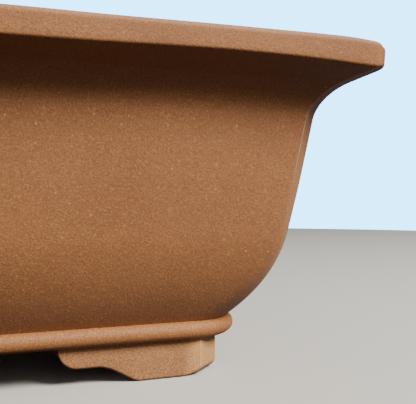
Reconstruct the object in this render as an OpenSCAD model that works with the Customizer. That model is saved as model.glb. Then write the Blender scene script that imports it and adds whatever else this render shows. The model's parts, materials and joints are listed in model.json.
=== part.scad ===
// Rectangular bonsai pot in unglazed stoneware, slab built.
// A floor slab carries four mitred walls; a flared lip is luted on top of
// the walls, a half-round band runs round the floor edge and four cloud
// feet stand under the corners.
// Millimetres, +Z up, X along the length, front towards -Y.
// Origin: centre of the footprint, on the table.

/* [Overall size] */
// Length over the rim
pot_l = 350; // [260:5:480]
// Width over the rim
pot_w = 260; // [210:5:380]
// Height from the table to the rim top
pot_h = 111; // [92:1:150]

/* [Rim] */
// Height of the flat outer face of the rim
rim_face_h = 7.4; // [5:0.1:10]
// How far the foot of the rim face stands back from its top
rim_slant = 0.4; // [0:0.1:1.5]
// Rounding of the outer top edge
rim_edge_r = 1.6; // [1:0.1:3.5]
// Rounding of the inner top edge
rim_inner_r = 2.4; // [1:0.1:4]
// Rise of the rim underside above level, degrees
under_slope = 24; // [15:1:35]
// Flat run of the rim underside, measured level
under_run = 8.1; // [4:0.1:10]
// Height of the luted lip strip, rim top to joint
lip_h = 12; // [10.5:0.1:16]
// Leg of the corner cut on the rim face
rim_cut = 6.5; // [3:0.1:10]

/* [Walls] */
// Wall thickness, square to the face
wall_t = 7.8; // [6:0.1:10]
// Lean of the straight part of the wall from upright, degrees
wall_lean = 8.9; // [6:0.1:11]
// Radius of the cove under the rim
cove_r = 15.5; // [12:0.5:18]
// Radius of the belly curve
belly_r = 64; // [52:1:80]
// Height of the belly curve above the floor slab
belly_h = 30.5; // [22:0.1:34]
// Leg of the corner cut below the rim
flare_cut = 4.4; // [3:0.1:8]
// Leg of the corner cut on the straight part of the wall
neck_cut = 5.6; // [3:0.1:9]
// Leg of the corner cut at the foot of the wall
base_cut = 11.6; // [9:0.1:14]

/* [Floor and band] */
// Thickness of the floor slab, also the height of the band
floor_t = 6.3; // [5.5:0.1:9]
// How far the floor edge stands in from the foot of the wall
floor_set = 0.7; // [0.4:0.1:3]
// Plan radius of the band's face where it turns a corner
band_turn_r = 23; // [18:0.5:28]
// Diameter of the two drain holes
drain_d = 20; // [12:0.5:26]
// Distance between the two drain holes
drain_gap = 130; // [90:5:170]
// Diameter of the four tie-wire holes
wire_d = 5; // [3:0.5:7]
// Tie-wire hole distance from the pot centre, along the length
wire_x = 100; // [80:1:110]
// Tie-wire hole distance from the pot centre, across the width
wire_y = 50; // [35:1:60]

/* [Feet] */
// Height of the feet
foot_h = 12.9; // [10:0.1:20]
// How far the feet stand in from the floor edge, front and back
foot_set = 0.6; // [0.2:0.1:6]
// How far the feet stand in from the floor edge at the ends of the pot
foot_end_set = 6.2; // [1:0.1:9]
// Reach of each foot arm from the corner, at the top
foot_reach = 58; // [50:0.5:66]
// Thickness of the foot arms
foot_t = 14; // [9:0.5:18]
// Leg of the corner cut on the feet
foot_cut = 9; // [5:0.1:12]

/* [Part shown] */

/* [Hidden] */

$fn = 96;
// Allowance by which cutting shapes overshoot the solids they cut
over = 2;
root2 = sqrt(2);
half_corner = 45;

// --- Heights of the joints and curve ends ---
floor_top = foot_h + floor_t;
lip_z = pot_h - lip_h;
face_z = pot_h - rim_face_h;
cove_top_a = 90 - under_slope;
cove_top = [rim_slant + under_run, face_z - under_run * tan(under_slope)];
cove_c = cove_top - cove_r * [cos(cove_top_a), sin(cove_top_a)];
cove_end = cove_c + cove_r * [cos(wall_lean), sin(wall_lean)];
belly_top_z = floor_top + belly_h;
belly_top = [cove_end[0] + (cove_end[1] - belly_top_z) * tan(wall_lean), belly_top_z];
belly_c = belly_top + belly_r * [cos(wall_lean), sin(wall_lean)];
inner_r = belly_r - wall_t;
inner_top = belly_c - inner_r * [cos(wall_lean), sin(wall_lean)];

// Set-in of the outer face from the rim face, at height z
function face_in(z) =
    z > face_z ? rim_slant * (pot_h - z) / rim_face_h :
    z > cove_top[1] ? rim_slant + (face_z - z) / tan(under_slope) :
    z > cove_end[1] ? cove_c[0] + sqrt(pow(cove_r, 2) - pow(z - cove_c[1], 2)) :
    z > belly_top[1] ? cove_end[0] + (cove_end[1] - z) * tan(wall_lean) :
    belly_c[0] - sqrt(pow(belly_r, 2) - pow(belly_c[1] - z, 2));

// Set-in of the inner face on the straight part, at height z
function inner_in(z) = inner_top[0] - (z - inner_top[1]) * tan(wall_lean);

// Leg of the corner cut at height z
function cut_leg(z) =
    z > face_z ? rim_cut :
    z > cove_top[1] ? flare_cut + (rim_cut - flare_cut) * (z - cove_top[1]) / (face_z - cove_top[1]) :
    z > cove_end[1] ? neck_cut + (flare_cut - neck_cut) * (z - cove_end[1]) / (cove_top[1] - cove_end[1]) :
    z > belly_top[1] ? neck_cut :
    neck_cut + (base_cut - neck_cut) * pow((belly_top[1] - z) / belly_h, 2);

// Set-in of the cut face along the corner diagonal, at height z
function cut_in(z) = root2 * face_in(z) + cut_leg(z) / root2;

// Points of the cut face between two heights, in n equal steps
function cut_line(z0, z1, n) = [for (i = [0 : n]) let (z = z0 + (z1 - z0) * i / n) [cut_in(z), z]];

// Plan sizes are held to a hundredth, so that the parts of a band meet exactly
function hundredth(x) = round(x * 100) / 100;
wall_foot_in = hundredth(face_in(floor_top));
floor_in = wall_foot_in + floor_set;
band_r = floor_t / 2;
band_in = floor_in - band_r;
band_z = foot_h + band_r;
foot_in = floor_in + foot_set;
foot_end_in = floor_in + foot_end_set;

// Set-in of the turn centres, and the plan radius of the floor corners
turn_in = band_in + band_turn_r;
back_r = band_turn_r - band_r;

// --- Placing and shaping helpers ---
// Extrudes an outline drawn as (set-in, height) along X
module along_x(l) {
    rotate([90, 0, 90])
        linear_extrude(height = l, center = true)
            children();
}

// Puts a piece drawn for the front side on side 0 front, 1 right, 2 back, 3 left
module on_side(i) {
    rotate([0, 0, 90 * i])
        translate([0, i % 2 == 0 ? -pot_w / 2 : -pot_l / 2, 0])
            children();
}

// Length over the rim of side i
function side_l(i) = i % 2 == 0 ? pot_l : pot_w;

// Both ends of a side: the right end and its mirror image
module both_ends() {
    children();
    mirror([1, 0, 0])
        children();
}

// Frame at the right end of a side: X along the cut face, Y inwards
module end_frame(l) {
    translate([l / 2, 0, 0])
        rotate([0, 0, half_corner])
            children();
}

// Plan of one side: a trapezium mitred on the corner diagonals
module side_plan(l, depth) {
    polygon([[-l / 2, 0], [l / 2, 0], [l / 2 - depth, depth], [depth - l / 2, depth]]);
}

// One mitred side: the outline from children(0) along the length,
// less the outline from children(1) along both cut corners
module mitred_side(l, z0, z1) {
    depth = pot_w / 4;
    difference() {
        intersection() {
            along_x(l)
                children(0);
            translate([0, 0, z0])
                linear_extrude(height = z1 - z0)
                    side_plan(l, depth);
        }
        both_ends()
            end_frame(l)
                along_x(4 * rim_cut + 4 * base_cut)
                    children(1);
    }
}

// --- Outlines, drawn as (set-in, height) ---
// Share that rises from 0 to 1, flat at both ends
function ease(t) = t * t * (3 - 2 * t);

// Corner b of a path a-b-c: where a rounding of radius r starts, and its centre
function unit(v) = v / norm(v);
function half_angle(a, b, c) = acos(unit(a - b) * unit(c - b)) / 2;
function round_start(a, b, c, r) = b + unit(a - b) * r / tan(half_angle(a, b, c));
function round_centre(a, b, c, r) =
    b + unit(unit(a - b) + unit(c - b)) * r / sin(half_angle(a, b, c));

// Section of a wall, from the floor slab to the lip joint
module wall_section() {
    depth = belly_c[0];
    difference() {
        union() {
            polygon([cove_end, belly_top, [face_in(floor_top), floor_top],
                     [depth, floor_top], [depth, lip_z], [face_in(lip_z), lip_z]]);
            intersection() {
                translate(belly_c)
                    circle(r = belly_r);
                translate([0, floor_top])
                    square([depth, belly_h]);
            }
        }
        translate(cove_c)
            circle(r = cove_r);
        // The hollow: the straight part, then the belly curve
        polygon([inner_top, [depth + over, inner_top[1]],
                 [depth + over, lip_z + over], [inner_in(lip_z + over), lip_z + over]]);
        translate(belly_c)
            circle(r = inner_r);
    }
}

// Waste outside the cut corner of a wall
module wall_corner_waste() {
    polygon(concat([[-over, floor_top - over]],
                   cut_line(floor_top - over, belly_top[1] + over, 14),
                   cut_line(cove_end[1] - over, lip_z + over / 2, 9),
                   [[-over, lip_z + over / 2]]));
}

// Section of the lip, with rounded top edges
module lip_section() {
    top_out = [0, pot_h];
    foot_out = [rim_slant, face_z];
    top_in = [inner_in(pot_h), pot_h];
    foot_in_pt = [inner_in(lip_z), lip_z];
    difference() {
        union() {
            polygon([foot_in_pt,
                     round_start(foot_in_pt, top_in, top_out, rim_inner_r),
                     round_start(top_out, top_in, foot_in_pt, rim_inner_r),
                     round_start(top_in, top_out, foot_out, rim_edge_r),
                     round_start(foot_out, top_out, top_in, rim_edge_r),
                     foot_out, cove_top, [face_in(lip_z), lip_z]]);
            translate(round_centre(foot_out, top_out, top_in, rim_edge_r))
                circle(r = rim_edge_r);
            translate(round_centre(top_out, top_in, foot_in_pt, rim_inner_r))
                circle(r = rim_inner_r);
        }
        translate(cove_c)
            circle(r = cove_r);
    }
}

// Waste outside the cut corner of the lip, with the same top rounding
module lip_corner_waste() {
    top_cut = [cut_in(pot_h), pot_h];
    foot_cut_pt = [cut_in(face_z), face_z];
    level = top_cut + [4 * rim_edge_r, 0];
    difference() {
        translate([-over, lip_z - over])
            square([over + cut_in(lip_z), lip_h + 2 * over]);
        union() {
            polygon(concat([[cut_in(lip_z) + over, lip_z - over], [cut_in(lip_z), lip_z - over]],
                           cut_line(lip_z, cove_top[1], 4),
                           [foot_cut_pt,
                            round_start(foot_cut_pt, top_cut, level, rim_edge_r),
                            round_start(level, top_cut, foot_cut_pt, rim_edge_r),
                            [cut_in(lip_z) + over, pot_h]]));
            translate(round_centre(foot_cut_pt, top_cut, level, rim_edge_r))
                circle(r = rim_edge_r);
        }
    }
}

// Half-round section of the band, flat side at set-in x
module band_section(x) {
    intersection() {
        translate([x, 0])
            circle(r = band_r);
        translate([x - band_r - over, -band_r])
            square([band_r + over, floor_t]);
    }
}

// Cloud outline of a foot arm, drawn as (distance from the corner, height):
// a flat sole, an ogee up to a flat lobe, and a round tip
module cloud_outline() {
    ogee_x = 0.54 * foot_reach;
    ogee_l = 0.24 * foot_reach;
    lobe_z = 0.45 * foot_h;
    tip_r = 0.52 * foot_h;
    tip_c = [foot_reach - tip_r, 0.95 * foot_h];
    steps = 12;
    intersection() {
        union() {
            polygon(concat([[0, 0]],
                           [for (i = [0 : steps]) let (t = i / steps)
                            [ogee_x + ogee_l * t, lobe_z * pow(ease(t), 0.7)]],
                           [[tip_c[0], lobe_z], [tip_c[0], foot_h], [0, foot_h]]));
            translate(tip_c)
                circle(r = tip_r);
        }
        square([foot_reach + over, foot_h]);
    }
}

// Plan of the floor slab: a rectangle with rounded corners. The outline
// runs through the points where the corner arcs start and end.
module floor_plan() {
    centres = [for (s = [[1, 1], [-1, 1], [-1, -1], [1, -1]])
               [s[0] * (pot_l / 2 - turn_in), s[1] * (pot_w / 2 - turn_in)]];
    polygon([for (i = [0 : 3]) each [for (a = [i * 90, i * 90 + 90])
             centres[i] + back_r * [cos(a), sin(a)]]]);
    for (c = centres)
        translate(c)
            circle(r = back_r);
}

// --- Pieces ---
module floor_slab() {
    color("#7d4a30")
        difference() {
            translate([0, 0, foot_h])
                linear_extrude(height = floor_t)
                    floor_plan();
            for (x = [-drain_gap / 2, drain_gap / 2])
                translate([x, 0, foot_h - over])
                    cylinder(d = drain_d, h = floor_t + 2 * over);
            for (x = [-wire_x, wire_x])
                for (y = [-wire_y, wire_y])
                    translate([x, y, foot_h - over])
                        cylinder(d = wire_d, h = floor_t + 2 * over);
        }
}

module wall(i) {
    color("#96633f")
        on_side(i)
            mitred_side(side_l(i), floor_top, lip_z) {
                wall_section();
                wall_corner_waste();
            }
}

module lip(i) {
    color("#ab7c58")
        on_side(i)
            mitred_side(side_l(i), lip_z, pot_h) {
                lip_section();
                lip_corner_waste();
            }
}

// Bent end of a band, from the straight to the mitre on the diagonal
module band_end(l) {
    translate([l / 2 - turn_in, turn_in, band_z])
        rotate([0, 0, -90])
            rotate_extrude(angle = half_corner)
                mirror([1, 0])
                    band_section(-back_r);
}

module band(i) {
    l = side_l(i);
    color("#b58a66")
        on_side(i) {
            translate([0, band_in, band_z])
                along_x(l - 2 * turn_in)
                    band_section(band_r);
            both_ends()
                band_end(l);
        }
}

// One foot: two arms meeting under a corner, with the outer corner cut off.
// Drawn with its corner at the origin, arms along -X and +Y.
module foot_arm() {
    rotate([90, 0, 0])
        mirror([1, 0, 0])
            translate([0, 0, -foot_t])
                linear_extrude(height = foot_t)
                    cloud_outline();
}

module foot(sx, sy) {
    color("#a87a58")
        mirror([sx < 0 ? 1 : 0, 0, 0])
            mirror([0, sy > 0 ? 1 : 0, 0])
                translate([pot_l / 2 - foot_end_in, foot_in - pot_w / 2, 0])
                    difference() {
                        union() {
                            foot_arm();
                            mirror([1, 1, 0])
                                foot_arm();
                        }
                        translate([0, 0, -over])
                            linear_extrude(height = foot_h + 2 * over)
                                polygon([[-foot_cut, 0], [-foot_cut - over, -over],
                                         [over, -over], [over, foot_cut + over], [0, foot_cut]]);
                    }
}

floor_slab();
wall(0);  // wall_front
wall(1);  // wall_right
wall(2);  // wall_back
wall(3);  // wall_left
lip(0);  // lip_front
lip(1);  // lip_right
lip(2);  // lip_back
lip(3);  // lip_left
band(0);  // band_front
band(1);  // band_right
band(2);  // band_back
band(3);  // band_left
foot(-1, -1);  // foot_front_left
foot(1, -1);  // foot_front_right
foot(-1, 1);  // foot_back_left
foot(1, 1);  // foot_back_right
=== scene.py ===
"""Rectangular bonsai pot in unglazed stoneware, as it stands after firing.

Every clay member of the pot is a piece of its own: the floor slab, four walls,
four lip strips, four band strips and four corner feet. A member is drawn as a
section with a few named values at each point, and a Geometry Nodes tree
carries that section along one side of the pot or round one corner.
"""
import enum
import json
import logging
import math
from dataclasses import dataclass, fields, replace
from typing import Dict, Iterable, List, Optional, Sequence, Tuple, Union

import bmesh
import bpy
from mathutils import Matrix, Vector

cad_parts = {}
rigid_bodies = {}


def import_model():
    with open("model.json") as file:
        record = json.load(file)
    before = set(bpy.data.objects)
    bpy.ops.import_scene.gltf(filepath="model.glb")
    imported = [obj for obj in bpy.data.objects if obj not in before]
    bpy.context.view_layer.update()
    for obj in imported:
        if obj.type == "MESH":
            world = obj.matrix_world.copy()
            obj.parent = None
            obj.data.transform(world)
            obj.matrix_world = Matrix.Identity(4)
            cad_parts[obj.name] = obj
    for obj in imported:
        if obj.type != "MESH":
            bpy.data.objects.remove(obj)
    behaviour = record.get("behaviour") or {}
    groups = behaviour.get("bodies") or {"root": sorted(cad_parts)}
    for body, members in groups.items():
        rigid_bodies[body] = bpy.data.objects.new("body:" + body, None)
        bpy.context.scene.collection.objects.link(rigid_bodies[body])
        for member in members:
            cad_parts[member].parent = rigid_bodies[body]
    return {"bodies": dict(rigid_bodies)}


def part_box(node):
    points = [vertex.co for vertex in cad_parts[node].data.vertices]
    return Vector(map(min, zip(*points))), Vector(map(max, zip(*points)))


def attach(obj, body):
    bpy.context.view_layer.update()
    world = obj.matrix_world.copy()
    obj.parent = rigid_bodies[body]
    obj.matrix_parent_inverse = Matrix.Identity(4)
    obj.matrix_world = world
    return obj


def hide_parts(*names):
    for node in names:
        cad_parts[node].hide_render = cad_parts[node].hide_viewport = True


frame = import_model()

LOG = logging.getLogger("bonsai_pot")
MM = 0.001
EIGHTH = math.pi / 4
# Leg of the cut whose arrises meet when their radius is 1, and a little over, so the cut has a width.
CORNER_SHARE = 2.0 - math.sqrt(2.0)
CORNER_SPARE = 1.01
Colour = Tuple[float, float, float]
Place = Tuple[float, float, float]
Point = Tuple[float, float]


class Placed(enum.Enum):
    """One of the places round the pot that a member's pieces go to."""

    @property
    def label(self) -> str:
        """The place's name as the frame's nodes spell it."""
        return self.name.lower()


class Side(Placed):
    """The four sides, with the quarter turns that bring the front to each."""

    FRONT = 0
    RIGHT = 1
    BACK = 2
    LEFT = 3


class Corner(Placed):
    """The four corners, with the quarter turns from the front right one."""

    FRONT_RIGHT = 0
    BACK_RIGHT = 1
    BACK_LEFT = 2
    FRONT_LEFT = 3

    @property
    def signs(self) -> Point:
        """Which way the corner lies from the middle of the pot."""
        return (1.0 if "RIGHT" in self.name else -1.0, 1.0 if "BACK" in self.name else -1.0)


class Sweep(enum.Enum):
    """The two ways a section is carried."""

    ALONG_SIDE = "clay side"
    ROUND_CORNER = "clay corner"


# ---------------------------------------------------------------- sizes


@dataclass(frozen=True)
class PotSizes:
    """Sizes of the pot in millimetres, and the curves they give."""

    length: float = 350.0
    width: float = 260.0
    height: float = 111.0
    rim_face: float = 7.4
    rim_slant: float = 0.4
    rim_edge: float = 1.6
    rim_inner_edge: float = 2.4
    under_slope: float = 24.0
    under_run: float = 8.1
    lip_foot: float = 99.0
    rim_cut: float = 6.5
    wall: float = 7.8
    lean: float = 8.9
    cove: float = 15.5
    belly: float = 64.0
    belly_height: float = 30.5
    flare_cut: float = 4.4
    neck_cut: float = 6.2
    base_cut: float = 11.6
    floor_under: float = 12.9
    floor_top: float = 19.2
    floor_in: float = 37.84
    band_turn: float = 23.0
    drain: float = 20.0
    drain_gap: float = 130.0
    wire: float = 5.0
    wire_x: float = 100.0
    wire_y: float = 50.0
    foot_in: float = 38.44
    foot_end_in: float = 44.04
    foot_reach: float = 58.0
    foot_thick: float = 14.0
    foot_cut: float = 9.0

    @classmethod
    def from_frame(cls) -> "PotSizes":
        """Reads the levels and set-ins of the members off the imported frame.

        Returns:
            The sizes, with every height taken from the frame's own nodes.
        """
        lip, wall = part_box("lip_front"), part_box("wall_front")
        slab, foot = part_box("floor_slab"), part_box("foot_front_right")
        sizes = cls()
        return replace(
            sizes,
            height=lip[1][2] / MM,
            lip_foot=lip[0][2] / MM,
            floor_top=wall[0][2] / MM,
            floor_under=slab[0][2] / MM,
            floor_in=sizes.length / 2 - slab[1][0] / MM,
            foot_in=sizes.width / 2 + foot[0][1] / MM,
            foot_end_in=sizes.length / 2 - foot[1][0] / MM,
        )

    @property
    def face_z(self) -> float:
        """Height of the lower arris of the rim face."""
        return self.height - self.rim_face

    @property
    def cove_top(self) -> Point:
        """Where the level run under the rim turns into the cove."""
        return (
            self.rim_slant + self.under_run,
            self.face_z - self.under_run * math.tan(math.radians(self.under_slope)),
        )

    @property
    def cove_centre(self) -> Point:
        """Centre of the cove, outside the wall.

        Returns:
            Its set-in and height.
        """
        angle = math.radians(90 - self.under_slope)
        x, z = self.cove_top
        return (x - self.cove * math.cos(angle), z - self.cove * math.sin(angle))

    @property
    def cove_end(self) -> Point:
        """Where the cove runs into the straight wall.

        Returns:
            Its set-in and height.
        """
        angle = math.radians(self.lean)
        x, z = self.cove_centre
        return (x + self.cove * math.cos(angle), z + self.cove * math.sin(angle))

    @property
    def belly_top(self) -> Point:
        """Where the straight wall runs into the belly curve.

        Returns:
            Its set-in and height.
        """
        z = self.floor_top + self.belly_height
        x, end_z = self.cove_end
        return (x + (end_z - z) * math.tan(math.radians(self.lean)), z)

    @property
    def belly_centre(self) -> Point:
        """Centre of the belly curve, inside the pot.

        Returns:
            Its set-in and height.
        """
        angle = math.radians(self.lean)
        x, z = self.belly_top
        return (x + self.belly * math.cos(angle), z + self.belly * math.sin(angle))

    def face_in(self, z: float) -> float:
        """How far the outer face stands in from the rim at a height.

        Args:
            z: Height above the table.

        Returns:
            The set-in.
        """
        if z > self.face_z:
            return self.rim_slant * (self.height - z) / self.rim_face
        if z > self.cove_top[1]:
            return self.rim_slant + (self.face_z - z) / math.tan(math.radians(self.under_slope))
        if z > self.cove_end[1]:
            x, centre_z = self.cove_centre
            return x + math.sqrt(self.cove**2 - (z - centre_z) ** 2)
        if z > self.belly_top[1]:
            return self.cove_end[0] + (self.cove_end[1] - z) * math.tan(math.radians(self.lean))
        x, centre_z = self.belly_centre
        return x - math.sqrt(self.belly**2 - (centre_z - z) ** 2)

    def hollow_in(self, z: float) -> float:
        """How far the inner face stands in from the rim at a height.

        Args:
            z: Height above the table.

        Returns:
            The set-in of the straight part, or of the belly curve below it.
        """
        x, centre_z = self.belly_centre
        radius = self.belly - self.wall
        angle = math.radians(self.lean)
        top = (x - radius * math.cos(angle), centre_z - radius * math.sin(angle))
        if z >= top[1]:
            return top[0] - (z - top[1]) * math.tan(angle)
        return x - math.sqrt(radius**2 - (centre_z - z) ** 2)

    def cut_leg(self, z: float) -> float:
        """Leg of the corner cut at a height.

        Args:
            z: Height above the table.

        Returns:
            The leg, measured along each of the two faces.
        """
        top, end, belly = self.cove_top[1], self.cove_end[1], self.belly_top[1]
        if z > self.face_z:
            return self.rim_cut
        if z > top:
            return self.flare_cut + (self.rim_cut - self.flare_cut) * (z - top) / (self.face_z - top)
        if z > end:
            return self.neck_cut + (self.flare_cut - self.neck_cut) * (z - end) / (top - end)
        if z > belly:
            return self.neck_cut
        share = (belly - z) / self.belly_height
        return self.neck_cut + (self.base_cut - self.neck_cut) * share**2


# ---------------------------------------------------------------- sections


@dataclass(frozen=True)
class SectionPoint:
    """One point of a section, with what the sweep needs to know about it.

    All lengths are millimetres. The section loop runs up the outer face, over
    the top, down the inner face and back along the joint.
    """

    set_in: float
    height: float
    leg: float
    turn: float
    # How much of the pale arris line a point gets: partly wear, partly a painted highlight.
    worn: float = 0.0
    edge: float = 0.0
    hang: float = 0.0
    crown: float = 0.0
    lower: float = 0.0


LENGTHS = ("set_in", "height", "leg", "turn")
# A hair of height that gives a joint's edge a row of its own.
JOINT_STEP = 0.05
THIRDS = (0.33, 0.67)
ROUND_POINTS = 9


def smooth(value: float) -> float:
    """Eases a value between 0 and 1, flat at both ends."""
    value = min(1.0, max(0.0, value))
    return value * value * (3.0 - 2.0 * value)


def spread(start: float, end: float, count: int) -> List[float]:
    """Evenly spaced values from start to end, both included.

    Args:
        start: First value.
        end: Last value.
        count: How many values.

    Returns:
        The values in order.
    """
    return [start + (end - start) * i / (count - 1) for i in range(count)]


def arc(centre: Point, radius: float, start: float, end: float, count: int) -> List[Point]:
    """Points along an arc in the section plane.

    Args:
        centre: Centre as set-in and height.
        radius: Radius of the arc.
        start: First angle in degrees, from the inward direction.
        end: Last angle in degrees.
        count: How many points.

    Returns:
        The points in order.
    """
    return [
        (centre[0] + radius * math.cos(math.radians(a)), centre[1] + radius * math.sin(math.radians(a)))
        for a in spread(start, end, count)
    ]


def rounded(a: Point, b: Point, c: Point, radius: float, count: int) -> List[Point]:
    """The corner b of a path a-b-c, rounded.

    Args:
        a: Point before the corner.
        b: The corner.
        c: Point after the corner.
        radius: Radius of the rounding.
        count: How many points make the rounding.

    Returns:
        Points from the start of the rounding to its end.
    """
    before, corner, after = Vector(a), Vector(b), Vector(c)
    to_a, to_c = (before - corner).normalized(), (after - corner).normalized()
    half = to_a.angle(to_c) / 2
    start = corner + to_a * radius / math.tan(half)
    end = corner + to_c * radius / math.tan(half)
    centre = corner + (to_a + to_c).normalized() * radius / math.sin(half)
    first, last = start - centre, end - centre
    whole = first.angle(last)
    points = []
    for share in spread(0.0, 1.0, count):
        weight = math.sin((1 - share) * whole), math.sin(share * whole)
        spoke = (first * weight[0] + last * weight[1]) / math.sin(whole)
        points.append((centre.x + spoke.x, centre.y + spoke.y))
    return points


def between(a: SectionPoint, b: SectionPoint, share: float) -> SectionPoint:
    """A point part of the way from one to another, without wear.

    Args:
        a: The one.
        b: The other.
        share: How far along.

    Returns:
        The point.
    """
    return SectionPoint(
        **{name: getattr(a, name) + (getattr(b, name) - getattr(a, name)) * share for name in LENGTHS}
    )


def section_mesh(name: str, points: Sequence[SectionPoint]) -> bpy.types.Mesh:
    """Draws a section as a closed ring of edges that carries its values.

    Args:
        name: Name of the mesh.
        points: The section's points in order.

    Returns:
        The mesh, one vertex for each point, with a named attribute for each value.
    """
    mesh = bpy.data.meshes.new(name)
    count = len(points)
    mesh.from_pydata(
        [(p.set_in * MM, p.height * MM, 0.0) for p in points],
        [(i, (i + 1) % count) for i in range(count)],
        [],
    )
    for entry in fields(SectionPoint):
        unit = MM if entry.name in LENGTHS else 1.0
        layer = mesh.attributes.new(entry.name, "FLOAT", "POINT")
        layer.data.foreach_set("value", [getattr(p, entry.name) * unit for p in points])
    return mesh


# ---------------------------------------------------------------- node writing


class Field:
    """A value in a node tree that ordinary arithmetic can be done with."""

    def __init__(self, graph: "Graph", socket: bpy.types.NodeSocket) -> None:
        """Keeps the socket that gives the value."""
        self.graph = graph
        self.socket = socket

    def __add__(self, other: "Term") -> "Field":
        """Sum."""
        return self.graph.math("ADD", self, other)

    __radd__ = __add__

    def __sub__(self, other: "Term") -> "Field":
        """Difference."""
        return self.graph.math("SUBTRACT", self, other)

    def __rsub__(self, other: "Term") -> "Field":
        """Difference, the other way round."""
        return self.graph.math("SUBTRACT", other, self)

    def __mul__(self, other: "Term") -> "Field":
        """Product."""
        return self.graph.math("MULTIPLY", self, other)

    __rmul__ = __mul__

    def __truediv__(self, other: "Term") -> "Field":
        """Quotient."""
        return self.graph.math("DIVIDE", self, other)

    def __pow__(self, other: "Term") -> "Field":
        """Power."""
        return self.graph.math("POWER", self, other)


Term = Union[Field, float, int]
Feeds = Dict[Union[str, int], object]
Output = Union[str, int]
# How the nodes are laid out in the editor: a row's length, and the steps across and down.
ROW, ACROSS, DOWN = 24, 180.0, -160.0


class Graph:
    """Writes nodes and formulas into one node tree."""

    def __init__(self, tree: bpy.types.NodeTree) -> None:
        """Starts on an empty tree."""
        self.tree = tree
        self.placed = 0

    def node(self, kind: str, feeds: Optional[Feeds] = None, **settings: object) -> bpy.types.Node:
        """Adds a node with its inputs fed.

        Args:
            kind: Blender's type name of the node.
            feeds: What goes into its inputs, by name or number.
            **settings: Properties to set on it first.

        Returns:
            The new node.
        """
        made = self.tree.nodes.new(kind)
        made.location = (ACROSS * (self.placed % ROW), DOWN * (self.placed // ROW))
        self.placed += 1
        for key, value in settings.items():
            setattr(made, key, value)
        for key, value in (feeds or {}).items():
            self.feed(made.inputs[key], value)
        return made

    def feed(self, socket: bpy.types.NodeSocket, value: object) -> None:
        """Links a field to a socket, or sets the socket's own value.

        Args:
            socket: The input to feed.
            value: A field or a plain value.
        """
        if isinstance(value, Field):
            self.tree.links.new(value.socket, socket)
        else:
            socket.default_value = value

    def out(self, node: bpy.types.Node, *names: Output) -> List[Field]:
        """Some outputs of a node, by name or number, as fields."""
        return [Field(self, node.outputs[name]) for name in names]

    def wired(self, kind: str, feeds: Feeds, output: Output = 0, **settings: object) -> Field:
        """Adds a node and hands back one output.

        Args:
            kind: Blender's type name of the node.
            feeds: What goes into its inputs, by name or number.
            output: Name or number of the output.
            **settings: Properties to set on the node.

        Returns:
            The output.
        """
        return self.out(self.node(kind, feeds, **settings), output)[0]

    def math(self, operation: str, *terms: Term, clamped: bool = False) -> Field:
        """One step of arithmetic.

        Args:
            operation: Name of the Math node's operation.
            *terms: Its one to three terms.
            clamped: Whether the result is held between 0 and 1.

        Returns:
            The result.
        """
        feeds = dict(enumerate(terms))
        return self.wired("ShaderNodeMath", feeds, operation=operation, use_clamp=clamped)

    def held(self, value: Term) -> Field:
        """A value held between 0 and 1."""
        return self.math("ADD", value, 0.0, clamped=True)

    def eased(self, value: Term, start: Term, end: Term) -> Field:
        """A share that rises smoothly from 0 at start to 1 at end.

        Args:
            value: The value that runs.
            start: Where the share is 0.
            end: Where the share is 1.

        Returns:
            The share.
        """
        feeds = dict(enumerate((value, start, end, 0.0, 1.0)))
        return self.wired("ShaderNodeMapRange", feeds, interpolation_type="SMOOTHSTEP")

    def vector(self, x: Term, y: Term, z: Term) -> Field:
        """Three numbers as a vector."""
        return self.wired("ShaderNodeCombineXYZ", {0: x, 1: y, 2: z})

    def parts(self, vector: Field) -> List[Field]:
        """A vector's three numbers."""
        return self.out(self.node("ShaderNodeSeparateXYZ", {0: vector}), 0, 1, 2)


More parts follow.
